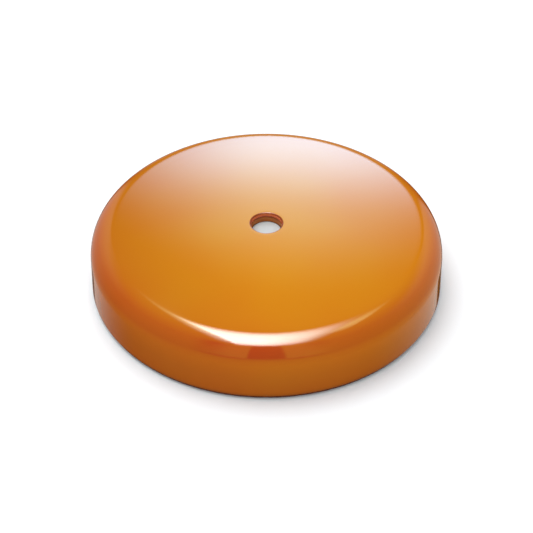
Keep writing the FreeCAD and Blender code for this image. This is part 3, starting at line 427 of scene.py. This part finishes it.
def cover_profile():
    """Outline of the glass, clockwise from the top of the bore, and where its parts begin."""
    corner_r = COVER["radius"] - CORNER
    rise = math.sqrt((CROWN - CORNER) ** 2 - corner_r**2)
    crown_z = COVER["top"] - CROWN
    corner = (corner_r, crown_z + rise)
    lean = math.degrees(math.atan2(rise, corner_r))
    inner = COVER["radius"] - COVER["wall"]
    lip, rim = 0.0009, 0.0012
    inner_rim, inner_edge_r = 0.00084, 0.0005

    def crown(radius, start, end, steps):
        run = [start + (end - start) * i / steps for i in range(steps + 1)]
        return [(r, crown_z + math.sqrt(radius**2 - r**2)) for r in run]

    edge = corner_r * CROWN / (CROWN - CORNER)
    inner_crown = CROWN - COVER["wall"]
    inner_edge = corner_r * inner_crown / (CROWN - CORNER)
    top = crown_z + math.sqrt(CROWN**2 - COVER["hole"] ** 2)
    under = crown_z + math.sqrt(inner_crown**2 - COVER["hole"] ** 2)
    bevel = COVER["hole"] + inner_edge_r
    points = []
    marks = {}

    def run(name, added):
        marks[name] = len(points)
        points.extend(added)

    run("lip", arc((COVER["hole"] + lip, top - lip), lip, 180, 90, 8)[:-1])
    run("crown", crown(CROWN, COVER["hole"] + lip, edge, 40)[:-1])
    run("corner", arc(corner, CORNER, lean, 0, 30)[:-1])
    wall_steps = [corner[1] + (COVER["foot"] + rim - corner[1]) * i / 10 for i in range(10)]
    run("wall", [(COVER["radius"], z) for z in wall_steps])
    foot_z = COVER["foot"] + rim
    run("rim", arc((COVER["radius"] - rim, foot_z), rim, 0, -90, 6))
    low = COVER["foot"] + inner_rim
    run("rim_inside", arc((inner + inner_rim, low), inner_rim, -90, -180, 5))
    inside_steps = [low + (corner[1] - low) * i / 10 for i in range(1, 10)]
    run("inside", [(inner, z) for z in inside_steps])
    run("corner_inside", arc(corner, CORNER - COVER["wall"], 0, lean, 24)[:-1])
    run("crown_inside", crown(inner_crown, inner_edge, bevel, 30))
    run("bore", arc((bevel, under + inner_edge_r), inner_edge_r, -90, -180, 4)[1:])
    bore_low = under + inner_edge_r
    bore_steps = [bore_low + (top - lip - bore_low) * i / 6 for i in range(1, 6)]
    run("bore_up", [(COVER["hole"], z) for z in bore_steps])
    return points, marks


def glass_cover():
    """The cased glass: amber outside, opal inside, and ground at the lip and bore."""
    points, marks = cover_profile()
    mesh = turned("cover_glass", points, 256)
    mesh.polygons.foreach_set("use_smooth", [True] * len(mesh.polygons))
    for layer in ("amber_glass", "opal_glass", "bore_glass"):
        mesh.materials.append(MATERIALS[layer])
    for face in mesh.polygons:
        segment = face.index % len(points)
        if marks["rim_inside"] <= segment < marks["bore"]:
            face.material_index = 1
        elif segment >= marks["bore"] or segment < marks["crown"]:
            face.material_index = 2
    keep(mesh, "cover", "glass_cover")


# ------------------------------------------------------------------------- lamps and spring


def thread_tree():
    """Rolls a helical thread into the outer skin of a tube about Z."""
    grow = Grower("rolled_thread", "Pitch", "Depth", "Low", "High", "Skin")
    given = grow.given
    spot = grow.add("GeometryNodeInputPosition").outputs[0]
    axes = grow.add("ShaderNodeSeparateXYZ", {0: spot}).outputs
    flat = grow.add("ShaderNodeCombineXYZ", {"X": axes["X"], "Y": axes["Y"]}).outputs[0]
    radius = grow.add("ShaderNodeVectorMath", {0: flat}, operation="LENGTH").outputs["Value"]
    turns = grow.maths("DIVIDE", axes["Z"], given["Pitch"])
    angle = grow.maths("ARCTAN2", axes["Y"], axes["X"])
    phase = grow.maths("SUBTRACT", grow.maths("MULTIPLY", turns, 2 * math.pi), angle)
    above = grow.maths("SUBTRACT", axes["Z"], given["Low"])
    below = grow.maths("SUBTRACT", given["High"], axes["Z"])
    inside = grow.maths("MINIMUM", above, below)
    share = grow.spread(grow.maths("DIVIDE", inside, given["Pitch"]), 0, 1, 0, 0.4, True)
    share = grow.maths("MULTIPLY", share, grow.maths("GREATER_THAN", radius, given["Skin"]))
    half = grow.maths("DIVIDE", given["Depth"], 2)
    wave = grow.maths("MULTIPLY", grow.maths("COSINE", phase), half)
    outward = grow.add("ShaderNodeVectorMath", {0: flat}, operation="NORMALIZE").outputs[0]
    shift = grow.arrow("SCALE", outward, grow.maths("MULTIPLY", wave, share))
    inputs = {"Geometry": given["Geometry"], "Offset": shift}
    return grow.close(grow.add("GeometryNodeSetPosition", inputs).outputs[0])


def coil_tree():
    """Winds a round wire helically about a path of edges."""
    grow = Grower("wound_wire", "Turns", "Radius", "Wire", "Points", "Sides")
    given = grow.given
    path = grow.add("GeometryNodeMeshToCurve", {"Mesh": given["Geometry"]}).outputs[0]
    inputs = {"Curve": path, "Count": given["Points"]}
    path = grow.add("GeometryNodeResampleCurve", inputs).outputs[0]
    along = grow.add("GeometryNodeSplineParameter").outputs["Factor"]
    angle = grow.maths("MULTIPLY", grow.maths("MULTIPLY", along, given["Turns"]), 2 * math.pi)
    normal = grow.add("GeometryNodeInputNormal").outputs[0]
    tangent = grow.add("GeometryNodeInputTangent").outputs[0]
    side = grow.arrow("CROSS_PRODUCT", normal, tangent)
    first = grow.arrow("SCALE", normal, grow.maths("COSINE", angle))
    second = grow.arrow("SCALE", side, grow.maths("SINE", angle))
    shift = grow.arrow("SCALE", grow.arrow("ADD", first, second), given["Radius"])
    wound = grow.add("GeometryNodeSetPosition", {"Geometry": path, "Offset": shift}).outputs[0]
    inputs = {"Resolution": given["Sides"], "Radius": given["Wire"]}
    ring = grow.add("GeometryNodeCurvePrimitiveCircle", inputs)
    inputs = {"Curve": wound, "Profile Curve": ring.outputs[0], "Fill Caps": True}
    return grow.close(grow.add("GeometryNodeCurveToMesh", inputs).outputs[0])


# Metres, in a lamp's own frame with heights from its contact: the cap's thread, inside and end,
# the skin left of its wall that stays smooth, and the filament's W, from its leads' feet up.
LAMP = {"x": 0.050, "contact_y": 0.037, "level": 0.022}
THREAD = {"pitch": 0.0028, "depth": 0.00035, "crest": 0.0069, "low": 0.0044, "high": 0.0156}
CAP = {"bore": 0.0059, "back": 0.0034, "floor": 0.0049, "end": 0.0166, "turn_in": 0.0004}
CAP_SKIN = 0.0003
FILAMENT = {"foot": 0.0272, "hooks": 0.038, "peaks": 0.0415, "dip": 0.0385}
ACROSS = {"foot": 0.0014, "peaks": 0.0034, "hooks": 0.007}
COIL = {"Turns": 34.0, "Radius": 0.00034, "Wire": 0.00009, "Points": 560.0}
LEAD = {"Turns": 0.0, "Radius": 0.0, "Wire": 0.0002, "Points": 4.0}
SPRING = {"turns": 4.0, "wire": 0.0004, "travel": 0.003}
ROLL = thread_tree()
WIND = coil_tree()


def lamp_place(side):
    """From a lamp's own frame, +Z from its contact to its tip, to the light's."""
    lean = Matrix.Rotation(math.radians(90), 4, "X")
    place = (LAMP["x"] * SIDES[side], LAMP["contact_y"], LAMP["level"])
    return Matrix.Translation(place) @ lean


def lamp_cap(side):
    """The cap with a real helical thread, where the CAD solid has rings."""
    low, high = THREAD["low"], THREAD["high"]
    middle = THREAD["crest"] - THREAD["depth"] / 2
    throat = CAP["bore"] - CAP["turn_in"]
    profile = [(throat, CAP["back"])]
    profile += [(middle, low + (high - low) * i / 48) for i in range(49)]
    profile += [(middle, CAP["end"]), (CAP["bore"], CAP["end"])]
    profile += [(CAP["bore"], CAP["floor"]), (throat, CAP["floor"])]
    seed = turned("cap_seed", profile, 64)
    values = {"Pitch": THREAD["pitch"], "Depth": THREAD["depth"], "Low": low, "High": high}
    values.update({"Skin": CAP["bore"] + CAP_SKIN, "Material": MATERIALS["nickel_plate"]})
    mesh = grown(f"threaded_cap_{side}", ROLL, seed, values, lamp_place(side))
    keep(mesh, f"lamp_{side}", f"lamp_cap_{side}")


def filament(side):
    """Coiled tungsten hung in a W between two stiff lead wires."""
    half = [(ACROSS[part], FILAMENT[part]) for part in ("foot", "hooks", "peaks")]
    (foot_x, foot), (hook_x, hooks), (peak_x, peaks) = half
    hang = [(-hook_x, hooks), (-peak_x, peaks), (0, FILAMENT["dip"])]
    hang += [(peak_x, peaks), (hook_x, hooks)]
    strands = [
        ("coil", hang, COIL),
        ("lead_1", [(-foot_x, foot), hang[0]], LEAD),
        ("lead_2", [hang[-1], (foot_x, foot)], LEAD),
    ]
    meshes = []
    for name, run, wire in strands:
        seed = path_mesh(f"{name}_seed", [(x, 0, z) for x, z in run])
        values = {**wire, "Sides": 6.0, "Material": MATERIALS["tungsten"]}
        meshes.append(grown(f"{name}_{side}", WIND, seed, values, lamp_place(side)))
    work = bmesh.new()
    for mesh in meshes:
        work.from_mesh(mesh)
    whole = bpy.data.meshes.new(f"coiled_filament_{side}")
    work.to_mesh(whole)
    work.free()
    whole.materials.append(MATERIALS["tungsten"])
    keep(whole, f"lamp_{side}", f"lamp_filament_{side}")


def button_spring():
    """Round spring wire in four turns, which shortens as the button goes down."""
    low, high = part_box("button_spring")
    wire = SPRING["wire"]
    seed = path_mesh("spring_seed", [(0, 0, low[2] + wire), (0, 0, high[2] - wire)])
    values = {"Turns": SPRING["turns"], "Radius": high[0] - wire, "Wire": wire}
    values.update({"Points": 192.0, "Sides": 12.0, "Material": MATERIALS["spring_steel"]})
    mesh = grown("coiled_button_spring", WIND, seed, values, Matrix.Identity(4))
    piece = keep(mesh, "base", "button_spring")
    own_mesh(piece)


def dress_nodes():
    """Gives each CAD node the material of its slot in the record."""
    for entry in frame["record"]["subparts"]:
        node = NODES[entry["node"]]
        node.data.materials.clear()
        node.data.materials.append(MATERIALS[entry["material_slot"]])


# --------------------------------------------------------------------------- stage and lights


def floor():
    mesh = bpy.data.meshes.new("floor")
    mesh.from_pydata([(-4, -4, 0), (4, -4, 0), (4, 4, 0), (-4, 4, 0)], [], [(0, 1, 2, 3)])
    piece = bpy.data.objects.new("floor", mesh)
    bpy.context.scene.collection.objects.link(piece)
    paint = Finish("floor_paper", Base_Color=colour("eef2f4"), Roughness=0.9)
    paint.set("Specular IOR Level", 0.0)
    mesh.materials.append(paint.material)
    piece.visible_glossy = False


def fade(sky, value, start, end):
    """0 at start, 1 at end, smooth between. Either may be the larger."""
    node = sky.add(
        "ShaderNodeMapRange",
        {"Value": value, "From Min": start, "From Max": end},
        interpolation_type="SMOOTHSTEP",
    )
    return node.outputs["Result"]


def product(sky, first, *others):
    for other in others:
        first = sky.maths("MULTIPLY", first, other)
    return first


def total(sky, first, *others):
    for other in others:
        first = sky.maths("ADD", first, other)
    return first


def soft_box(sky, x, y, left, right, near, far):
    """A rectangle with soft edges. Each edge is where it starts and where it is full."""
    sides = [fade(sky, x, *left), fade(sky, x, *right), fade(sky, y, *near), fade(sky, y, *far)]
    return product(sky, *sides)


def reflected_room(sky):
    """What glossy surfaces mirror: a tall window behind the object, a soft box above it, pale
    walls to both sides, and a dark figure in front of a warm wall where the viewer stands.

    turn is degrees to the right of straight back and rise is degrees above level. over_x and
    over_y are where a direction meets a ceiling one unit up."""
    way = sky.add("ShaderNodeTexCoord").outputs["Generated"]
    axes = sky.add("ShaderNodeSeparateXYZ", {0: way}).outputs
    x, y, z = axes["X"], axes["Y"], axes["Z"]
    to_degrees = 180 / math.pi
    turn = sky.maths("MULTIPLY", sky.maths("ARCTAN2", x, y), to_degrees)
    away = sky.maths("ABSOLUTE", turn)
    rise = sky.maths("MULTIPLY", sky.maths("ARCSINE", z), to_degrees)
    over = sky.maths("MAXIMUM", z, 0.02)
    over_x, over_y = sky.maths("DIVIDE", x, over), sky.maths("DIVIDE", y, over)

    across = sky.maths("DIVIDE", sky.maths("SUBTRACT", turn, 3), 15)
    up = sky.maths("DIVIDE", sky.maths("SUBTRACT", rise, 28), 18.5)
    off = total(sky, product(sky, across, across), product(sky, up, up))
    pane = fade(sky, sky.maths("SQRT", off), 1.3, 0.1)
    bright = product(sky, fade(sky, rise, 38, 24), 6.4)
    window = product(sky, pane, total(sky, bright, product(sky, fade(sky, rise, 56, 36), 3.7)))

    right = product(sky, fade(sky, turn, 24, 28), fade(sky, turn, 115, 28), 0.7)
    left = product(sky, fade(sky, turn, -18, -24), fade(sky, turn, -85, -24), 0.62)
    walls = product(sky, total(sky, left, right), fade(sky, rise, 46, 28))
    ground = product(sky, fade(sky, away, 18, 12), fade(sky, rise, 2, -4), 0.3)
    pale = total(sky, walls, ground)

    core = soft_box(
        sky, over_x, over_y, (-0.31, -0.24), (0.38, -0.09), (-0.71, -0.44), (0.65, 0.24)
    )
    halo = soft_box(
        sky, over_x, over_y, (-0.44, -0.23), (0.47, 0.19), (-0.63, -0.25), (0.51, -0.05)
    )
    left_side = soft_box(
        sky, over_x, over_y, (-0.40, -0.28), (-0.13, -0.24), (-0.2, 0.2), (0.9, 0.4)
    )
    right_side = soft_box(
        sky, over_x, over_y, (0.30, 0.42), (0.60, 0.48), (-0.2, 0.1), (0.6, 0.2)
    )
    tails = product(sky, total(sky, left_side, right_side), 4.5)
    above = product(sky, core, 15.5)

    figure = product(
        sky, fade(sky, away, 168, 170), fade(sky, rise, 1, 4), fade(sky, rise, 60, 56)
    )
    lit = product(sky, fade(sky, away, 137, 159), fade(sky, rise, -4, 6), fade(sky, rise, 60, 54))
    warm = product(sky, lit, sky.maths("SUBTRACT", 1, figure))

    shares = [
        (window, (0.37, 0.72, 1.0)),
        (pale, (0.9, 0.9, 0.85)),
        (above, (1.0, 0.97, 0.97)),
        (product(sky, halo, 9.5), (0.75, 0.95, 0.9)),
        (tails, (0.75, 0.9, 0.4)),
        (warm, (1.45, 1.32, 0.1)),
    ]
    room = (0.0, 0.0, 0.0)
    for level, tint in shares:
        light = sky.add("ShaderNodeVectorMath", {0: tint, 3: level}, operation="SCALE")
        room = sky.add(
            "ShaderNodeVectorMath", {0: room, 1: light.outputs[0]}, operation="ADD"
        ).outputs[0]
    return room


def studio():
    """Even light for surfaces, and a room for what is glossy."""
    world = bpy.data.worlds.new("studio")
    bpy.context.scene.world = world
    world.use_nodes = True
    world.node_tree.nodes.clear()
    sky = Tree(world.node_tree)
    glossy = sky.add("ShaderNodeLightPath").outputs["Is Glossy Ray"]
    seen = sky.mix(glossy, (0.84, 0.845, 0.86, 1.0), reflected_room(sky))
    back = sky.add("ShaderNodeBackground", {"Color": seen, "Strength": 1.0})
    sky.add("ShaderNodeOutputWorld", {"Surface": back.outputs[0]})

    key = bpy.data.lights.new("key", "SUN")
    key.energy = 2.0
    key.angle = math.radians(60)
    lamp = bpy.data.objects.new("key", key)
    lamp.rotation_euler = Vector((0.30, -0.35, -1.0)).to_track_quat("-Z", "Y").to_euler()
    lamp.visible_glossy = False
    bpy.context.scene.collection.objects.link(lamp)


def camera():
    """Looks down from the front with a long lens, with the object slightly below the middle."""
    data = bpy.data.cameras.new("camera")
    data.lens = 152.28
    data.sensor_width = 36.0
    data.shift_y = -0.0279
    data.clip_start = 0.05
    view = bpy.data.objects.new("camera", data)
    middle = Vector((0, 0, 0.0234))
    rise = math.radians(39.79)
    distance = 1.415
    view.location = middle + distance * Vector((0, -math.cos(rise), math.sin(rise)))
    view.rotation_euler = (middle - view.location).to_track_quat("-Z", "Y").to_euler()
    bpy.context.scene.collection.objects.link(view)
    bpy.context.scene.camera = view


glass_cover()
button_spring()
for hand in SIDES:
    lamp_cap(hand)
    filament(hand)
dress_nodes()
floor()
studio()
camera()
bpy.context.scene.view_settings.view_transform = "Standard"
